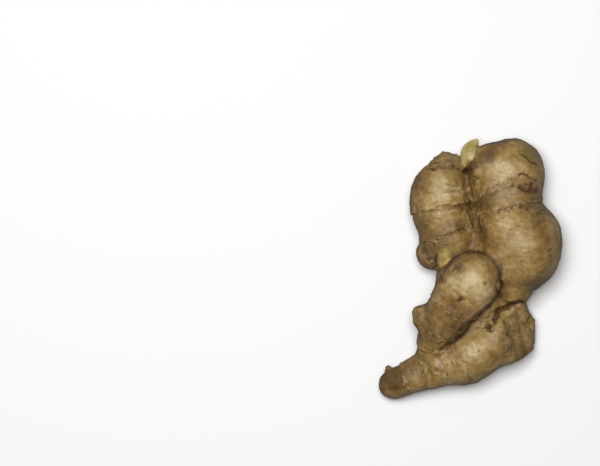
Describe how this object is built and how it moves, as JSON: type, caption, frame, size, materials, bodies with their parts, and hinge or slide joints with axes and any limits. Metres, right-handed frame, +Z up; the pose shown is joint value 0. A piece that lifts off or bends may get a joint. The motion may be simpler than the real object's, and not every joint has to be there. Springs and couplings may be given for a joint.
{
  "type": "ginger root",
  "caption": "Fresh ginger hand: swollen, ringed limbs branching from each other, with buds, knobs and broken ends, lying flat.",
  "frame": {"origin": "on the surface that the root lies on, under the middle of its outline", "axes": "+Z up, +Y along the hand from the thin lower tip to the shoot, +X to the swollen side"},
  "size_m": [0.082, 0.1184, 0.0384],
  "materials": {
    "ginger_skin": "thin, slightly shiny tan skin with corky ring scars, darker in the creases"
  },
  "bodies": {
    "root": {"ginger_root": "ginger_skin"}
  },
  "joints": []
}
